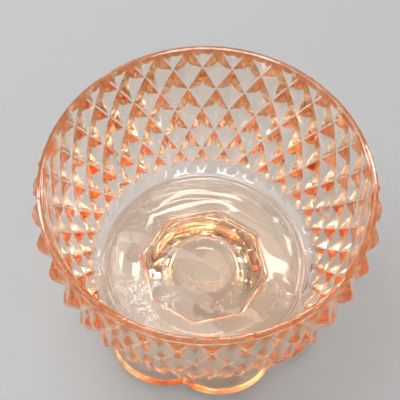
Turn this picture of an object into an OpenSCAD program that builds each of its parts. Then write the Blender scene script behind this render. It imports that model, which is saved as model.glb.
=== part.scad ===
// Pressed-glass candy dish: an open round bowl covered in diamond points,
// a short octagonal stem and a scalloped foot with eight lobes.
// Millimetres, +Z up. The origin is the centre of the resting ring at z = 0.

/* [Overall] */
// Height from the resting ring to the top of the rim
dish_h = 77.5; // [74:0.5:82]
// Outside diameter of the plain rim band
rim_d = 112.8; // [106:0.2:120]

/* [Bowl] */
// Thickness of the rim band, inside to outside
lip_t = 2.4; // [2.2:0.1:3]
// Height of the plain band above the diamond points
band_h = 4.8; // [3.8:0.2:5.6]
// Height of the flat inside floor above the resting plane
floor_z = 18.6; // [17.5:0.1:20]
// How much the inside wall leans in over its whole depth
wall_draft = 1.4; // [0.8:0.1:2]
// How much the wall tucks in towards the floor
wall_tuck = 14.9; // [12:0.1:16]
// Glass thickness from the smooth inside to the valleys between the points
wall_t = 2.1; // [1.8:0.1:2.4]
// Radius that blends the inside wall into the floor
floor_fillet = 2.4; // [2:0.2:4]

/* [Diamond points] */
// Diamond points in one row around the bowl
points_n = 32; // [24:2:36]
// Relief of a point as a share of the wall radius where it stands
relief_k = 0.058; // [0.05:0.0005:0.07]
// Half height of a diamond at the rim; lower rows shrink with the bowl
half_row = 11.2; // [10.8:0.1:11.4]
// Distance from the rim down to the first row of crossings
first_row = 11; // [10.5:0.1:11.5]

/* [Stem] */
// Height of the plane where the bowl meets the stem
joint_z = 13.9; // [13:0.1:14.5]
// Circumradius of the octagon at the top of the stem
stem_top_r = 23; // [22:0.5:24]
// Circumradius of the octagon at the waist
stem_waist_r = 22; // [21:0.2:22.6]
// Circumradius of the octagon where it stands on the foot
stem_foot_r = 25; // [23:0.5:26]

/* [Foot] */
// Radius from the axis to the middle of a lobe
lobe_r = 46.9; // [45:0.1:48]
// Radius from the axis to a cusp between two lobes
cusp_r = 42.6; // [41:0.1:43.5]
// Thickness of the foot at the bead along its edge
foot_edge_t = 4.3; // [3.8:0.1:4.8]
// Width of the bead along the edge of the foot
bead_w = 3; // [2:0.2:4]
// Thickness of the foot just inside the bead
groove_t = 3.3; // [3:0.1:3.6]
// Height of the seat that carries the stem
seat_z = 8; // [7.5:0.1:8.5]
// Radius where the hollow underside starts, inside the resting ring
hollow_r = 37; // [34:0.5:38]
// Height of the hollow underside below the stem, where the cone starts
hollow_h = 3.6; // [3:0.1:4.2]
// Radius of the conical hollow where it starts under the foot
cone_foot_r = 21; // [20:0.1:22]
// Radius of the conical hollow at its top, inside the stem
cone_top_r = 11.9; // [11:0.1:13]
// How far the round button hangs down from the top of the cone
button_h = 0.9; // [0.5:0.1:1.4]
// Radius of the round button
button_r = 9; // [8:0.1:10]

/* [Hidden] */
$fn = 96;
glass = [0.96, 0.66, 0.52, 0.55];
eps = 0.01;

lobes_n = 8;
lobe_step = 360 / lobes_n;
rim_r = rim_d / 2;
in_r = rim_r - lip_t;
depth = dish_h - floor_z;
rows = 6;

// Inside wall: radius and lean at height z.
function sink(z) = (dish_h - z) / depth;
function in_wall(z) = in_r - wall_draft * sink(z) - wall_tuck * pow(sink(z), 3);
function lean(z) = atan((wall_draft + 3 * wall_tuck * pow(sink(z), 2)) / depth);
// Point [r, z] that stands t away from the inside wall, square to it.
function off_wall(z, t) = [in_wall(z) + t * cos(lean(z)), z - t * sin(lean(z))];
// Height on the inside wall of each level of crossings, from the rim down.
function level(j) =
    j == 1 ? dish_h - first_row :
    j == 0 ? dish_h - first_row + half_row :
    let (z = level(j - 1))
        z - half_row * pow((in_wall(z) + wall_t) / rim_r, 3) * cos(lean(z));
// Levels 1 to 5 carry points; level 0 is buried in the band and level 6 is plain.
function valley(j) = j == 0 ? [in_r + 1.4, dish_h - 0.4] : off_wall(level(j), wall_t);
function tip(j) = (j == 0 || j == rows) ? valley(j) :
    off_wall(level(j), wall_t + relief_k * valley(j)[0]);

ring_n = 2 * points_n;
function around(p, i) = [p[0] * cos(i * 360 / ring_n), p[0] * sin(i * 360 / ring_n), p[1]];
function is_tip(j, i) = (i + j) % 2 == 0;
// Round underside between the last row of points and the stem.
belly = [0.53 * valley(rows)[0] + 0.47 * (stem_top_r + 3), joint_z + 1.7];

// Outer body of the bowl: four flat facets rise to each point, and every
// facet ends in the valleys that run diagonally from crossing to crossing.
module diamond_body() {
    pts = concat(
        [for (j = [0 : rows], i = [0 : ring_n - 1])
            around(is_tip(j, i) ? tip(j) : valley(j), i)],
        [for (p = [belly, [stem_top_r + 3, joint_z]], i = [0 : ring_n - 1]) around(p, i)]);
    faces = concat(
        [[for (i = [ring_n - 1 : -1 : 0]) i]],
        [for (j = [0 : rows + 1], i = [0 : ring_n - 1])
            let (k = (i + 1) % ring_n,
                 a = j * ring_n + i, b = j * ring_n + k,
                 c = (j + 1) * ring_n + i, d = (j + 1) * ring_n + k)
            each (is_tip(j, i) ? [[a, b, c], [b, d, c]] : [[a, b, d], [a, d, c]])],
        [[for (i = [0 : ring_n - 1]) (rows + 2) * ring_n + i]]);
    polyhedron(points = pts, faces = faces, convexity = 6);
}

// Plain band with a rounded outer lip.
module rim_band() {
    lip = lip_t / 2;
    rotate_extrude()
        polygon(concat(
            [[in_r - 3, dish_h], [in_r - 3, dish_h - band_h],
             [rim_r - 0.6, dish_h - band_h], [rim_r, dish_h - band_h + 0.8]],
            [for (a = [0 : 15 : 90])
                [rim_r - lip + lip * cos(a), dish_h - lip + (lip) * sin(a)]]));
}

// The candy space: smooth wall, blended corner, flat floor, rounded inner lip.
module candy_space() {
    lip = lip_t / 2 - 0.1;
    steps = 18;
    zf = floor_z + floor_fillet * 0.55;
    rf = in_wall(zf);
    a0 = lean(zf);
    // centre of the corner blend, chosen tangent to the floor
    cr = floor_fillet * (1 + sin(a0)) / 2;
    rotate_extrude()
        polygon(concat(
            [[0, floor_z], [rf - floor_fillet * 1.05, floor_z],
             [rf - floor_fillet * 0.62, floor_z + cr * 0.11],
             [rf - floor_fillet * 0.27, floor_z + cr * 0.36]],
            [for (s = [0 : steps])
                let (z = zf + (dish_h - lip - zf) * s / steps) [in_wall(z), z]],
            [for (a = [15 : 15 : 90])
                [in_wall(dish_h - lip) + lip * (1 - cos(a)), dish_h - lip + lip * sin(a)]],
            [[in_wall(dish_h - lip) + lip, dish_h + 2], [0, dish_h + 2]]));
}

module bowl() {
    color(glass)
        difference() {
            union() {
                diamond_body();
                rim_band();
            }
            candy_space();
        }
}

// Octagonal ring of eight corners; corners line up with the cusps of the foot.
function octagon(r, z) = [for (i = [0 : 7])
    [r * cos(i * 45 + 22.5), r * sin(i * 45 + 22.5), z]];
stem_h = joint_z - seat_z;
stem_steps = 8;
// Circumradius along the stem, t from 0 on the foot to 1 under the bowl.
function stem_r(t) = t < 0.6 ?
    stem_waist_r + (stem_foot_r - stem_waist_r) * pow(1 - t / 0.6, 2) :
    stem_waist_r + (stem_top_r - stem_waist_r) * pow((t - 0.6) / 0.4, 2);

module stem_block() {
    pts = [for (s = [0 : stem_steps]) each
        octagon(stem_r(s / stem_steps), seat_z + stem_h * s / stem_steps)];
    faces = concat(
        [[for (i = [0 : 7]) i]],
        [for (s = [0 : stem_steps - 1], i = [0 : 7])
            let (k = (i + 1) % 8)
            [s * 8 + i, (s + 1) * 8 + i, (s + 1) * 8 + k, s * 8 + k]],
        [[for (i = [7 : -1 : 0]) stem_steps * 8 + i]]);
    polyhedron(points = pts, faces = faces, convexity = 3);
}

// Conical hollow that the foot and the stem share, with a button at its top.
module well() {
    top = joint_z - 0.7;
    rotate_extrude()
        polygon([[0, -1], [cone_foot_r + 0.5, -1], [cone_foot_r + 0.5, hollow_h],
                 [cone_foot_r, hollow_h + 0.9], [cone_top_r, top - 0.3],
                 [cone_top_r - 0.5, top], [button_r + 1, top - 0.15],
                 [button_r, top - button_h * 0.7], [button_r - 1, top - button_h],
                 [0, top - button_h]]);
}

module stem() {
    color(glass)
        difference() {
            stem_block();
            well();
        }
}

// Outline of the foot: eight round lobes that meet in cusps.
half_chord = cusp_r * sin(lobe_step / 2);
rise = lobe_r - cusp_r * cos(lobe_step / 2);
arc_r = (half_chord * half_chord + rise * rise) / (2 * rise);
module foot_outline(inset = 0) {
    for (i = [0 : lobes_n - 1])
        rotate(i * lobe_step) translate([lobe_r - arc_r, 0]) circle(r = arc_r - inset);
    circle(r = cusp_r * 0.8);
}

// Upper surface of the foot: a level seat, then a hollow curve to the edge.
module foot_flare() {
    r0 = stem_foot_r + 0.5;
    r1 = lobe_r - bead_w;
    steps = 12;
    rotate_extrude()
        polygon(concat(
            [[0, -1], [lobe_r + 2, -1], [lobe_r + 2, groove_t]],
            [for (s = [0 : steps])
                let (t = s / steps)
                [r1 - (r1 - r0) * t, groove_t + (seat_z - groove_t) * pow(t, 2)]],
            [[0, seat_z]]));
}

// Bead that follows the lobes along the edge.
module bead() {
    linear_extrude(height = foot_edge_t)
        difference() {
            foot_outline();
            foot_outline(bead_w);
        }
}

module underside() {
    steps = 8;
    rotate_extrude()
        polygon(concat(
            [[0, -1], [hollow_r, -1]],
            [for (s = [0 : steps])
                let (t = s / steps)
                [hollow_r - (hollow_r - cone_foot_r) * t, hollow_h * sin(90 * t)]],
            [[0, hollow_h]]));
}

module foot() {
    color(glass)
        difference() {
            union() {
                intersection() {
                    linear_extrude(height = seat_z + 1) foot_outline();
                    foot_flare();
                }
                bead();
            }
            underside();
            well();
        }
}

bowl();
stem();
foot();
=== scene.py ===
import bpy
import math
import numpy as np
from mathutils import Matrix, Vector


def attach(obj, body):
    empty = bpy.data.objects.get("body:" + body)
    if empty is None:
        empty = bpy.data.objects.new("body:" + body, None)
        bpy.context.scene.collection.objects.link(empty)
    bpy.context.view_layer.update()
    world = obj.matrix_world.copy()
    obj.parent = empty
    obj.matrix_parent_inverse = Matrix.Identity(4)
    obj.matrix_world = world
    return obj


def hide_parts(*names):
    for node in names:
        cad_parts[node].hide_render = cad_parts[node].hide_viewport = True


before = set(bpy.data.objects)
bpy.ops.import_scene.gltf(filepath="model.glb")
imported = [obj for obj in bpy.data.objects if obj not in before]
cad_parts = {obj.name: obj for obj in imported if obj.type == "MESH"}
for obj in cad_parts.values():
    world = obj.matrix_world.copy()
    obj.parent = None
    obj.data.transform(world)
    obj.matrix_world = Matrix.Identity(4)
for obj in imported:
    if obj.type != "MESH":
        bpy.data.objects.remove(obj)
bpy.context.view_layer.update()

# ------------------------------------------------------------------ sizes, mm
H = 77.5            # height of the rim
RIM = 56.4          # outside radius of the rim band
LIP = 2.4           # rim thickness
BAND = 3.4          # plain band under the rim
FLOOR = 18.6        # inside floor
DRAFT, TUCK = 1.4, 14.9
WALL = 2.1          # glass between the smooth inside and the valleys
FILLET = 1.6
RELIEF = 0.0650
DROPS = (-0.6, 11.0, 22.7, 32.8, 42.4, 49.9, 55.6, 61.0)   # crossings below the rim
JOINT = 13.9        # underside of the bowl
OCT_TOP, OCT_WAIST, OCT_FOOT = 23.0, 22.0, 25.0
LOBE_R, CUSP_R = 46.9, 42.6
EDGE_T = 4.4        # foot, at the bead along its edge
GROOVE_T = 3.3      # and just inside the bead
BEVEL_W, BEVEL_H = 4.6, 2.2   # underside rises to the edge
SEAT = 8.0
HOLLOW_R, HOLLOW_H = 37.0, 3.6
IN_R = RIM - LIP
DEPTH = H - FLOOR


def wall_r(z):
    s = (H - z) / DEPTH
    return IN_R - DRAFT * s - TUCK * s ** 3


def lean(z):
    s = (H - z) / DEPTH
    return np.arctan((DRAFT + 3 * TUCK * s ** 2) / DEPTH)


def off_wall(z, t):
    a = lean(z)
    return wall_r(z) + t * np.cos(a), z - t * np.sin(a)


levels = [H - d for d in DROPS]
PATTERN_END = H - 56.6

# ------------------------------------------------------------------ columns
U = np.array([0, .05, .12, .2, .3, .4, .5, .6, .7, .8, .88, .95, 1.0])
M = 12
cell = np.repeat(np.arange(64), M)
frac = np.tile(U[:-1], 64)
AZ = np.radians((cell + frac) * 5.625)
AZC = AZ[::3]


def smoothstep(a, b, x):
    t = np.clip((x - a) / (b - a), 0, 1)
    return t * t * (3 - 2 * t)


def soft(x, e=0.07):
    return (np.sqrt(x * x + e * e) - e) / (math.sqrt(1 + e * e) - e)


def diamond_ring(j, v):
    """One ring of the outside, v of the way from level j to level j + 1."""
    z0 = levels[j] + (levels[j + 1] - levels[j]) * v
    near = (cell + j) % 2 == 0            # the cell's first corner is a point
    u = frac
    a1 = np.where(near, u, 1 - u)
    h_top = 1 - soft(a1) - soft(np.full_like(u, v))
    h_bot = 1 - soft(1 - a1) - soft(np.full_like(u, 1 - v))
    upper = (a1 + v) <= 1.0 + 1e-9
    h = np.where(upper, h_top, h_bot)
    h = np.maximum(h, 0)
    h = np.sqrt(h * h + 0.035 ** 2) - 0.035
    over = np.maximum(h - 0.76, 0)
    h = h - over ** 2 / (2 * 0.24)
    amp = float(smoothstep(H - BAND + 1.2, H - BAND - 1.6, z0)
                * smoothstep(PATTERN_END - 0.5, PATTERN_END + 2.4, z0))
    band = 0.12 * float(smoothstep(H - BAND - 1.6, H - 1.3, z0))
    t = WALL + band + RELIEF * (wall_r(z0) + WALL) * h * amp
    r, zz = off_wall(z0, t)
    return np.stack([r * np.cos(AZ), r * np.sin(AZ), np.broadcast_to(zz, r.shape)], 1)


def round_ring(r, z, az=AZC):
    r = np.broadcast_to(r, az.shape)
    z = np.broadcast_to(z, az.shape)
    return np.stack([r * np.cos(az), r * np.sin(az), z], 1)


def octagon_r(circum, az=AZC):
    a = (az % (math.pi / 4)) - math.pi / 8   # 0 at the corner
    a = np.abs(a)
    return circum * math.cos(math.pi / 8) / np.cos(math.pi / 8 - a)


def lobe_outline(az=AZC):
    half = CUSP_R * math.sin(math.pi / 8)
    rise = LOBE_R - CUSP_R * math.cos(math.pi / 8)
    a = (half * half + rise * rise) / (2 * rise)
    d = LOBE_R - a
    p = (az + math.pi / 8) % (math.pi / 4) - math.pi / 8
    return d * np.cos(p) + np.sqrt(a * a - (d * np.sin(p)) ** 2)


rings = []      # (points, name of section)


def add(points, tag):
    rings.append((points, tag))


# inside floor
add(np.array([[0, 0, FLOOR]]), "floor")
zs = np.linspace(FLOOR, H, 4000)
centre_z = zs + FILLET * np.sin(lean(zs))
zt = float(np.interp(FLOOR + FILLET, centre_z, zs))
rc = float(wall_r(zt) - FILLET * math.cos(lean(zt)))
for r in (1.2, 3, 5.5, 8.5, 12, 15.5, 19, 22.5, 26, 29, 31.5, rc - 2.4, rc - 1.5):
    add(round_ring(r, FLOOR), "floor")
# low line left by the edge of the plunger
for d, h in ((1.15, 0.07), (0.9, 0.2), (0.65, 0.2), (0.4, 0.06)):
    add(round_ring(rc - d, FLOOR + h), "floor")
a_end = math.pi / 2 - float(lean(zt))
for a in np.linspace(0, a_end, 9):
    add(round_ring(rc + FILLET * math.sin(a), FLOOR + FILLET * (1 - math.cos(a))), "wall")
for z in np.linspace(zt, H - 1.0, 28)[1:]:
    add(round_ring(float(wall_r(z)), z), "wall")
# rim: two soft corners and a slightly crowned top
ri, ro = float(wall_r(H - 1.0)), RIM
cr = 1.12
for a in np.linspace(0, 90, 6)[1:]:
    a = math.radians(a)
    add(round_ring(ri + cr * (1 - math.cos(a)), H - 0.12 - cr + cr * math.sin(a)), "rim")
add(round_ring((ri + ro) / 2, H), "rim")
for a in np.linspace(90, 0, 6):
    a = math.radians(a)
    add(round_ring(ro - cr * (1 - math.cos(a)), H - 0.12 - cr + cr * math.sin(a)), "rim")
# outside of the bowl
for v in (0.175, 0.21, 0.245, 0.28, 0.31, 0.34, 0.37, 0.40, 0.43, 0.46, 0.5, 0.55, 0.6, 0.65, 0.7, 0.8, 0.88, 0.95):
    add(diamond_ring(0, v), "d0")
for j in range(1, 6):
    for v in U[:-1]:
        add(diamond_ring(j, float(v)), "d%d" % j)
for v in (0.0, 0.05, 0.1, 0.15):
    add(diamond_ring(6, v), "d6")
r6, z6 = off_wall(PATTERN_END - 0.2, WALL)
add(round_ring(float(r6), float(z6), AZ), "under")
# underside of the bowl, then the octagonal stem
b0, b1 = np.array([float(r6), float(z6)]), np.array([OCT_TOP + 2.4, JOINT + 0.25])
ctrl = np.array([33.5, JOINT + 0.1])
for t in np.linspace(0, 1, 8)[1:]:
    p = (1 - t) ** 2 * b0 + 2 * t * (1 - t) * ctrl + t * t * b1
    w = smoothstep(0.3, 1.0, t)
    add(round_ring((1 - w) * p[0] + w * octagon_r(p[0] + 0.3), p[1]), "under")
for t in np.linspace(0, 1, 8)[1:]:
    a = t * math.pi / 2
    add(round_ring(octagon_r(OCT_TOP + 2.4 - 2.2 * math.sin(a)), JOINT + 0.25 - 2.1 * (1 - math.cos(a))), "stem")
z_a = JOINT - 1.85
top_r = OCT_TOP + 0.2
for t in np.linspace(0, 1, 8)[1:]:
    z = z_a + (SEAT + 0.6 - z_a) * t
    c = OCT_WAIST + (top_r - OCT_WAIST) * (1 - smoothstep(0, 0.55, t)) + \
        (OCT_FOOT - OCT_WAIST) * t ** 3
    add(round_ring(octagon_r(c), z), "stem")
# top of the foot: octagon opening into eight lobes
lobes = lobe_outline()
z_b = SEAT + 0.6
inner = lobes - 5.0                          # where the bead starts to rise
for t in np.linspace(0, 1, 16)[1:]:
    r = (1 - t) * octagon_r(OCT_FOOT) + t * inner
    z = GROOVE_T + (z_b - GROOVE_T) * (1 - t) ** 2.0
    add(round_ring(r, z), "foot")
for t in (0.2, 0.4, 0.6, 0.8, 1.0):
    r = inner + t * (5.0 - 1.1)
    z = GROOVE_T + (EDGE_T - GROOVE_T) * float(smoothstep(0, 1, t))
    add(round_ring(r, z), "foot")
for a in np.linspace(90, 0, 7)[1:]:
    a = math.radians(a)
    add(round_ring(lobes - 0.02 - 1.08 * (1 - math.cos(a)), EDGE_T - 1.1 + 1.1 * math.sin(a)), "foot")
for a in np.linspace(0, -58, 5):
    a = math.radians(a)
    add(round_ring(lobes - 0.55 * (1 - math.cos(a)), BEVEL_H + 0.55 + 0.55 * math.sin(a)), "foot")
for t in (0.35, 0.7, 0.9, 1.0):
    add(round_ring(lobes - 0.26 - (BEVEL_W - 0.26) * t,
                   (BEVEL_H + 0.08) * (1 - t) ** 1.35), "foot")
# resting ring and hollow underside
for t in (0.4, 1.0):
    add(round_ring((1 - t) * (lobes - BEVEL_W) + t * HOLLOW_R, 0.0), "ring")
HR = np.array([37.0, 35.5, 32.0, 28.0, 25.0, 23.0, 21.8, 21.0])
HZ = np.array([0.0, 0.9, 1.9, 2.6, 3.1, 3.6, 4.1, 4.7])
for r in np.linspace(HOLLOW_R, 21.0, 15)[1:]:
    add(round_ring(float(r), float(np.interp(-r, -HR, HZ))), "hollow")
# conical hollow up the inside of the stem
CONE_Z, CONE_R = 13.1, 11.9
for t in np.linspace(0, 1, 7)[1:]:
    add(round_ring(21.0 + (CONE_R - 21.0) * t, 4.7 + (CONE_Z - 4.7) * t), "well")
for r, z in ((11.65, 13.3), (11.3, 13.38), (10.9, 13.33), (10.3, 13.12), (9.7, 12.88), (9.1, 12.66),
             (8.6, 12.42), (8.0, 12.25), (7.0, 12.1), (5.5, 11.96), (4.0, 11.87), (2.4, 11.81), (1.1, 11.79)):
    add(round_ring(r, z), "well")
add(np.array([[0, 0, 11.78]]), "well")

# ------------------------------------------------------------------ mesh
verts = np.concatenate([p for p, _ in rings])
starts = np.cumsum([0] + [len(p) for p, _ in rings])
faces, sharp = [], set()
for k in range(len(rings) - 1):
    na, nb = len(rings[k][0]), len(rings[k + 1][0])
    a0, b0_ = int(starts[k]), int(starts[k + 1])
    if na == 1:
        faces += [(a0, b0_ + (i + 1) % nb, b0_ + i) for i in range(nb)]
    elif nb == 1:
        faces += [(a0 + i, a0 + (i + 1) % na, b0_) for i in range(na)]
    elif na == nb:
        tag = rings[k][1]
        for i in range(na):
            j = (i + 1) % na
            A, B, C, D = a0 + i, a0 + j, b0_ + j, b0_ + i
            if na == len(AZ) and tag[0] == "d":
                lev = int(tag[1:])
                near = (cell[i] + lev) % 2 == 0
                if near:        # valley falls from the right to the left
                    faces += [(A, B, D), (B, C, D)]
                else:
                    faces += [(A, B, C), (A, C, D)]
            else:
                faces.append((A, B, C, D))
    else:
        big, small = max(na, nb), min(na, nb)
        q = big // small
        coarse_first = na < nb
        c0, f0 = (a0, b0_) if coarse_first else (b0_, a0)
        for i in range(small):
            ca, cb = c0 + i, c0 + (i + 1) % small
            fine = [f0 + (i * q + m) % big for m in range(q + 1)]
            half = q // 2
            tris = [(ca, fine[m + 1], fine[m]) for m in range(half)]
            tris += [(ca, cb, fine[half])]
            tris += [(cb, fine[m + 1], fine[m]) for m in range(half, q)]
            if not coarse_first:
                tris = [(t[0], t[2], t[1]) for t in tris]
            faces += tris
# valley lines could be kept crisp by marking them sharp: they join vertices whose height over the wall is nil;
# SHARP_VALLEYS is off, so none are marked
SHARP_VALLEYS = False
for k in range(len(rings) - 1):
    tag = rings[k][1]
    if tag[0] != "d" or len(rings[k][0]) != len(AZ) or len(rings[k + 1][0]) != len(AZ):
        continue
    lev = int(tag[1:])
    if lev in (0, 6) or not SHARP_VALLEYS:
        continue
    idx = [q for q in range(k, -1, -1) if rings[q][1] == tag][-1]
    row = k - idx
    for c in range(64):
        near = (c + lev) % 2 == 0
        col_a = (M - row) if near else row
        col_b = (M - row - 1) if near else row + 1
        va = int(starts[k]) + (c * M + col_a) % len(AZ)
        vb = int(starts[k + 1]) + (c * M + col_b) % len(AZ)
        sharp.add((min(va, vb), max(va, vb)))

# faint unevenness of pressed glass, well under a tenth of a millimetre
x, y, z = verts.T
rad = np.hypot(x, y)
ang = np.arctan2(y, x)
wave = (0.030 * np.sin(3 * ang + 0.11 * z + 0.7) + 0.022 * np.sin(7 * ang - 0.17 * z + 2.1)
        + 0.016 * np.sin(13 * ang + 0.31 * z + 4.0) + 0.012 * np.sin(0.55 * z + 5 * ang))
inside = (z > FLOOR + 0.5) & (z < H - 1.5) & (rad < wall_r(np.clip(z, FLOOR, H)) + 0.3)
verts[:, 0] += np.where(inside, wave * np.cos(ang), 0)
verts[:, 1] += np.where(inside, wave * np.sin(ang), 0)
# two mould faults: low worms of extra glass that run from point to point
outer = rad > wall_r(np.clip(z, FLOOR, H)) + 1.4
for a_hi, z_hi, a_lo, z_lo, tall in ((120.0, 38.5, 124.2, 25.0, 1.9), (9.8, 38.0, 6.0, 28.5, 1.7)):
    f = np.clip((z_hi - z) / (z_hi - z_lo), 0, 1)
    mid = np.radians(a_hi + (a_lo - a_hi) * f) + 0.010 * np.sin(f * 2 * np.pi)
    off = ((ang - mid + np.pi) % (2 * np.pi) - np.pi) * rad
    ends = smoothstep(z_lo - 1.5, z_lo + 1.0, z) * (1 - smoothstep(z_hi - 1.0, z_hi + 1.5, z))
    lift = np.where(outer, tall * np.exp(-(off / 1.35) ** 4) * ends, 0)
    verts[:, 0] += lift * np.cos(ang)
    verts[:, 1] += lift * np.sin(ang)
on_floor = (np.abs(z - FLOOR) < 0.4) & (rad < 37)
dish = 0.05 * np.sin(0.21 * x + 0.6) * np.cos(0.17 * y - 0.4) + 0.03 * np.sin(0.37 * y + 0.23 * x)
verts[:, 2] += np.where(on_floor, dish * smoothstep(36, 30, rad), 0)

mesh = bpy.data.meshes.new("dish_glass")
mesh.from_pydata((verts / 1000.0).tolist(), [], faces)
mesh.validate()
# face outwards
vol = 0.0
mesh.calc_loop_triangles()
tri = np.empty(len(mesh.loop_triangles) * 3, int)
mesh.loop_triangles.foreach_get("vertices", tri)
tri = tri.reshape(-1, 3)
vv = verts / 1000.0
vol = np.einsum("ij,ij->i", vv[tri[:, 0]], np.cross(vv[tri[:, 1]], vv[tri[:, 2]])).sum() / 6
if vol < 0:
    mesh.flip_normals()
print("glass volume cm3", abs(vol) * 1e6, "triangles", len(tri))
mesh.shade_smooth()
edge_v = np.empty(len(mesh.edges) * 2, int)
mesh.edges.foreach_get("vertices", edge_v)
edge_v = np.sort(edge_v.reshape(-1, 2), axis=1)
flag = np.array([(int(a), int(b)) in sharp for a, b in edge_v])
att = mesh.attributes.new("sharp_edge", "BOOLEAN", "EDGE")
att.data.foreach_set("value", flag)
print("sharp", int(flag.sum()), "of", len(sharp))
mesh.update()
glass = bpy.data.objects.new("dish_glass", mesh)
bpy.context.scene.collection.objects.link(glass)
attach(glass, "root")
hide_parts("bowl", "stem", "foot")


# ------------------------------------------------------------------ glass
def glass_material():
    m = bpy.data.materials.new("pink_glass")
    m.use_nodes = True
    nt = m.node_tree
    nt.nodes.clear()
    N, L = nt.nodes.new, nt.links.new
    out = N("ShaderNodeOutputMaterial")
    p = N("ShaderNodeBsdfPrincipled")
    p.inputs["Base Color"].default_value = (1.0, 0.985, 0.975, 1)
    p.inputs["Transmission Weight"].default_value = 1.0
    p.inputs["IOR"].default_value = 1.52
    L(p.outputs[0], out.inputs["Surface"])
    vol = N("ShaderNodeVolumeAbsorption")
    vol.inputs["Color"].default_value = (0.92, 0.59, 0.20, 1)
    vol.inputs["Density"].default_value = 53.0
    L(vol.outputs[0], out.inputs["Volume"])

    co = N("ShaderNodeTexCoord")
    # overall fine unevenness of the fire polish
    n1 = N("ShaderNodeTexNoise")
    n1.inputs["Scale"].default_value = 160.0
    n1.inputs["Detail"].default_value = 3.0
    L(co.outputs["Object"], n1.inputs["Vector"])
    rough = N("ShaderNodeMapRange")
    rough.inputs["From Min"].default_value = 0.35
    rough.inputs["From Max"].default_value = 0.75
    rough.inputs["To Min"].default_value = 0.0
    rough.inputs["To Max"].default_value = 0.012
    L(n1.outputs["Fac"], rough.inputs["Value"])
    # scuffs: fine crossing scratches, a whitish cloudy patch and specks of wear, with two white seed dots that are
    # painted reflection, only on the inside floor
    sep = N("ShaderNodeSeparateXYZ")
    L(co.outputs["Object"], sep.inputs[0])
    low = N("ShaderNodeMapRange")             # 1 on the floor, 0 up the wall
    low.inputs["From Min"].default_value = (FLOOR + 1.6) / 1000
    low.inputs["From Max"].default_value = (FLOOR + 0.4) / 1000
    L(sep.outputs["Z"], low.inputs["Value"])
    above = N("ShaderNodeMapRange")           # 0 on the underside
    above.inputs["From Min"].default_value = (FLOOR - 0.9) / 1000
    above.inputs["From Max"].default_value = (FLOOR - 0.3) / 1000
    L(sep.outputs["Z"], above.inputs["Value"])
    flat = N("ShaderNodeVectorMath")
    flat.operation = "MULTIPLY"
    flat.inputs[1].default_value = (1, 1, 0)
    L(co.outputs["Object"], flat.inputs[0])
    length = N("ShaderNodeVectorMath")
    length.operation = "LENGTH"
    L(flat.outputs[0], length.inputs[0])
    within = N("ShaderNodeMapRange")          # 1 inside the bowl's floor
    within.inputs["From Min"].default_value = 0.0385
    within.inputs["From Max"].default_value = 0.0365
    L(length.outputs["Value"], within.inputs["Value"])
    m1 = N("ShaderNodeMath"); m1.operation = "MULTIPLY"
    L(low.outputs[0], m1.inputs[0]); L(above.outputs[0], m1.inputs[1])
    zone = N("ShaderNodeMath"); zone.operation = "MULTIPLY"
    L(m1.outputs[0], zone.inputs[0]); L(within.outputs[0], zone.inputs[1])

    def scratches(angle, stretch, scale, lo, hi):
        mp = N("ShaderNodeMapping")
        mp.inputs["Rotation"].default_value = (0, 0, math.radians(angle))
        mp.inputs["Scale"].default_value = (scale, scale * stretch, scale)
        L(co.outputs["Object"], mp.inputs["Vector"])
        wob = N("ShaderNodeTexNoise")
        wob.inputs["Scale"].default_value = 1.0
        wob.inputs["Detail"].default_value = 2.0
        L(mp.outputs[0], wob.inputs["Vector"])
        r = N("ShaderNodeMapRange")
        r.inputs["From Min"].default_value = lo
        r.inputs["From Max"].default_value = hi
        L(wob.outputs["Fac"], r.inputs["Value"])
        return r.outputs[0]

    lines = None
    for angle, stretch, scale, lo in ((24, 0.07, 3000, 0.66), (-37, 0.06, 2800, 0.665),
                                      (68, 0.08, 3200, 0.665), (-80, 0.07, 2900, 0.67)):
        one = scratches(angle, stretch, scale, lo, lo + 0.04)
        if lines is None:
            lines = one
        else:
            mx = N("ShaderNodeMath"); mx.operation = "MAXIMUM"
            L(lines, mx.inputs[0]); L(one, mx.inputs[1])
            lines = mx.outputs[0]
    patch = N("ShaderNodeTexNoise")
    patch.inputs["Scale"].default_value = 70.0
    patch.inputs["Detail"].default_value = 3.0
    L(co.outputs["Object"], patch.inputs["Vector"])
    pr = N("ShaderNodeMapRange")
    pr.inputs["From Min"].default_value = 0.44
    pr.inputs["From Max"].default_value = 0.62
    L(patch.outputs["Fac"], pr.inputs["Value"])
    sc1 = N("ShaderNodeMath"); sc1.operation = "MULTIPLY"
    L(lines, sc1.inputs[0]); L(pr.outputs[0], sc1.inputs[1])
    # whitish cloudy patch in one spot of the floor, rougher and less clear
    near = N("ShaderNodeVectorMath"); near.operation = "DISTANCE"
    near.inputs[1].default_value = (-0.0235, -0.0105, FLOOR / 1000)
    L(co.outputs["Object"], near.inputs[0])
    white_patch = N("ShaderNodeMapRange")
    white_patch.inputs["From Min"].default_value = 0.0125
    white_patch.inputs["From Max"].default_value = 0.007
    L(near.outputs["Value"], white_patch.inputs["Value"])
    fine = N("ShaderNodeTexNoise")
    fine.inputs["Scale"].default_value = 980.0
    fine.inputs["Detail"].default_value = 4.0
    L(co.outputs["Object"], fine.inputs["Vector"])
    fr = N("ShaderNodeMapRange")
    fr.inputs["From Min"].default_value = 0.47
    fr.inputs["From Max"].default_value = 0.55
    L(fine.outputs["Fac"], fr.inputs["Value"])
    blot = N("ShaderNodeTexNoise")
    blot.inputs["Scale"].default_value = 170.0
    blot.inputs["Detail"].default_value = 2.0
    L(co.outputs["Object"], blot.inputs["Vector"])
    br = N("ShaderNodeMapRange")
    br.inputs["From Min"].default_value = 0.42
    br.inputs["From Max"].default_value = 0.52
    L(blot.outputs["Fac"], br.inputs["Value"])
    w0 = N("ShaderNodeMath"); w0.operation = "MULTIPLY"
    L(white_patch.outputs[0], w0.inputs[0]); L(br.outputs[0], w0.inputs[1])
    wf = N("ShaderNodeMath"); wf.operation = "MULTIPLY"
    L(w0.outputs[0], wf.inputs[0]); L(fr.outputs[0], wf.inputs[1])
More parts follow.
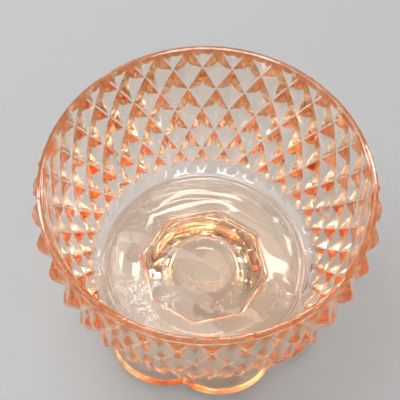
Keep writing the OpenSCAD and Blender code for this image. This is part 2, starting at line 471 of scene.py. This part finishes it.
    # sparse specks of wear all over the floor
    speck = N("ShaderNodeTexNoise")
    speck.inputs["Scale"].default_value = 900.0
    speck.inputs["Detail"].default_value = 1.0
    L(co.outputs["Object"], speck.inputs["Vector"])
    sr = N("ShaderNodeMapRange")
    sr.inputs["From Min"].default_value = 0.72
    sr.inputs["From Max"].default_value = 0.76
    L(speck.outputs["Fac"], sr.inputs["Value"])
    # two seeds (small bubbles) in the floor, drawn as white rough dots: painted reflection of the bubbles
    patch_and_seed_glints = wf.outputs[0]
    for sx, sy, size in ((0.01388, 0.01046, 0.00085), (0.00809, 0.00622, 0.0008)):
        ds = N("ShaderNodeVectorMath"); ds.operation = "DISTANCE"
        ds.inputs[1].default_value = (sx, sy, FLOOR / 1000)
        L(co.outputs["Object"], ds.inputs[0])
        dr = N("ShaderNodeMapRange")
        dr.inputs["From Min"].default_value = size
        dr.inputs["From Max"].default_value = size * 0.6
        L(ds.outputs["Value"], dr.inputs["Value"])
        dm = N("ShaderNodeMath"); dm.operation = "MAXIMUM"
        L(patch_and_seed_glints, dm.inputs[0]); L(dr.outputs[0], dm.inputs[1])
        patch_and_seed_glints = dm.outputs[0]
    m2 = N("ShaderNodeMath"); m2.operation = "MAXIMUM"
    L(sc1.outputs[0], m2.inputs[0]); L(patch_and_seed_glints, m2.inputs[1])
    m3 = N("ShaderNodeMath"); m3.operation = "MAXIMUM"
    L(m2.outputs[0], m3.inputs[0]); L(sr.outputs[0], m3.inputs[1])
    # mask of the scuffs, the cloudy patch and the painted seed reflections
    scuff_and_glint = N("ShaderNodeMath"); scuff_and_glint.operation = "MULTIPLY"
    L(m3.outputs[0], scuff_and_glint.inputs[0]); L(zone.outputs[0], scuff_and_glint.inputs[1])
    # roughness: polish everywhere, more in the scuffs and at the painted seed dots
    rs = N("ShaderNodeMath"); rs.operation = "MULTIPLY"
    rs.inputs[1].default_value = 0.38
    L(scuff_and_glint.outputs[0], rs.inputs[0])
    ra = N("ShaderNodeMath"); ra.operation = "ADD"
    L(rs.outputs[0], ra.inputs[0]); L(rough.outputs[0], ra.inputs[1])
    L(ra.outputs[0], p.inputs["Roughness"])
    # scuffs let less light through and show the near-white base colour; at the seed dots this white is a painted
    # reflection
    tr = N("ShaderNodeMapRange")
    tr.inputs["To Min"].default_value = 1.0
    tr.inputs["To Max"].default_value = 0.40
    L(scuff_and_glint.outputs[0], tr.inputs["Value"])
    L(tr.outputs[0], p.inputs["Transmission Weight"])

    bump = N("ShaderNodeBump")
    bump.inputs["Strength"].default_value = 0.25
    bump.inputs["Distance"].default_value = 0.0003
    n2 = N("ShaderNodeTexNoise")
    n2.inputs["Scale"].default_value = 110.0
    n2.inputs["Detail"].default_value = 1.5
    L(co.outputs["Object"], n2.inputs["Vector"])
    L(n2.outputs["Fac"], bump.inputs["Height"])
    L(bump.outputs[0], p.inputs["Normal"])
    return m


mesh.materials.append(glass_material())

# ------------------------------------------------------------------ studio
floor_mesh = bpy.data.meshes.new("studio_floor")
s = 30.0
floor_mesh.from_pydata([(-s, -s, 0), (s, -s, 0), (s, s, 0), (-s, s, 0)], [], [(0, 1, 2, 3)])
floor = bpy.data.objects.new("studio_floor", floor_mesh)
floor.location.z = -0.0002
bpy.context.scene.collection.objects.link(floor)
fm = bpy.data.materials.new("pale_floor")
fm.use_nodes = True
fp = fm.node_tree.nodes["Principled BSDF"]
fp.inputs["Base Color"].default_value = (0.44, 0.44, 0.445, 1)
fp.inputs["Roughness"].default_value = 0.7
floor_mesh.materials.append(fm)

world = bpy.data.worlds.new("studio")
bpy.context.scene.world = world
world.use_nodes = True
wt_ = world.node_tree
bg = wt_.nodes["Background"]
wco = wt_.nodes.new("ShaderNodeTexCoord")
wsep = wt_.nodes.new("ShaderNodeSeparateXYZ")
wramp = wt_.nodes.new("ShaderNodeValToRGB")
wt_.links.new(wco.outputs["Generated"], wsep.inputs[0])
wt_.links.new(wsep.outputs["Z"], wramp.inputs[0])
wt_.links.new(wramp.outputs[0], bg.inputs["Color"])
ramp = wramp.color_ramp
ramp.elements[0].position, ramp.elements[0].color = 0.0, (0.56, 0.565, 0.575, 1)
ramp.elements[1].position, ramp.elements[1].color = 0.95, (1.0, 1.0, 1.0, 1)
for at, g in ((0.14, 0.50), (0.30, 0.20), (0.52, 0.26)):
    e = ramp.elements.new(at)
    e.color = (g, g * 1.01, g * 1.03, 1)
bg.inputs["Strength"].default_value = 1.15


def softbox(name, loc, target, size, power, colour=(1, 1, 1), lights_floor=True):
    data = bpy.data.lights.new(name, "AREA")
    data.shape = "RECTANGLE"
    data.size, data.size_y = size
    data.energy = power
    data.color = colour
    o = bpy.data.objects.new(name, data)
    o.location = loc
    o.rotation_euler = (Vector(target) - Vector(loc)).to_track_quat("-Z", "Y").to_euler()
    o.visible_diffuse = lights_floor
    bpy.context.scene.collection.objects.link(o)
    return o


softbox("key", (-0.40, 0.35, 1.0), (0, 0, 0.03), (0.9, 0.9), 7.0)
softbox("strip_left", (-0.62, 0.42, 0.50), (0, 0, 0.05), (0.16, 0.5), 4.6, lights_floor=False)
softbox("strip_right", (0.66, 0.30, 0.42), (0, 0, 0.05), (0.14, 0.5), 3.8, lights_floor=False)
softbox("strip_top", (-0.05, -0.15, 1.2), (0, 0, 0.03), (0.6, 0.22), 9.0, lights_floor=False)
softbox("strip_back", (0.12, 0.85, 0.42), (0, 0, 0.05), (0.6, 0.12), 5.0, lights_floor=False)

# ------------------------------------------------------------------ camera
cam_data = bpy.data.cameras.new("camera")
cam_data.sensor_fit = "HORIZONTAL"
cam_data.sensor_width = 36.0
cam_data.lens = 103.5
cam_data.clip_start = 0.01
cam_data.clip_end = 200
cam = bpy.data.objects.new("camera", cam_data)
bpy.context.scene.collection.objects.link(cam)
pitch, yaw, roll = math.radians(60.976), math.radians(-0.350), math.radians(2.444)
fwd = Vector((0, math.cos(pitch), -math.sin(pitch)))
right = Vector((1, 0, 0))
up = right.cross(fwd)
f2 = math.cos(yaw) * fwd + math.sin(yaw) * right
r2 = math.cos(yaw) * right - math.sin(yaw) * fwd
r3 = math.cos(roll) * r2 + math.sin(roll) * up
u3 = math.cos(roll) * up - math.sin(roll) * r2
turn = Matrix.Rotation(math.radians(-15), 3, "Z")
basis = Matrix((turn @ r3, turn @ u3, turn @ (-f2))).transposed()
where = turn @ (Vector((0, -188.576, 328.160 + H)) / 1000.0)
cam.matrix_world = Matrix.Translation(where) @ basis.to_4x4()
bpy.context.scene.camera = cam

# ------------------------------------------------------------------ light paths
sc = bpy.context.scene
sc.cycles.max_bounces = 40
sc.cycles.transmission_bounces = 36
sc.cycles.glossy_bounces = 16
sc.cycles.diffuse_bounces = 4
sc.cycles.volume_bounces = 0
sc.cycles.caustics_reflective = True
sc.cycles.caustics_refractive = True
sc.cycles.blur_glossy = 0.5
sc.cycles.sample_clamp_indirect = 12.0
sc.view_settings.view_transform = "Standard"

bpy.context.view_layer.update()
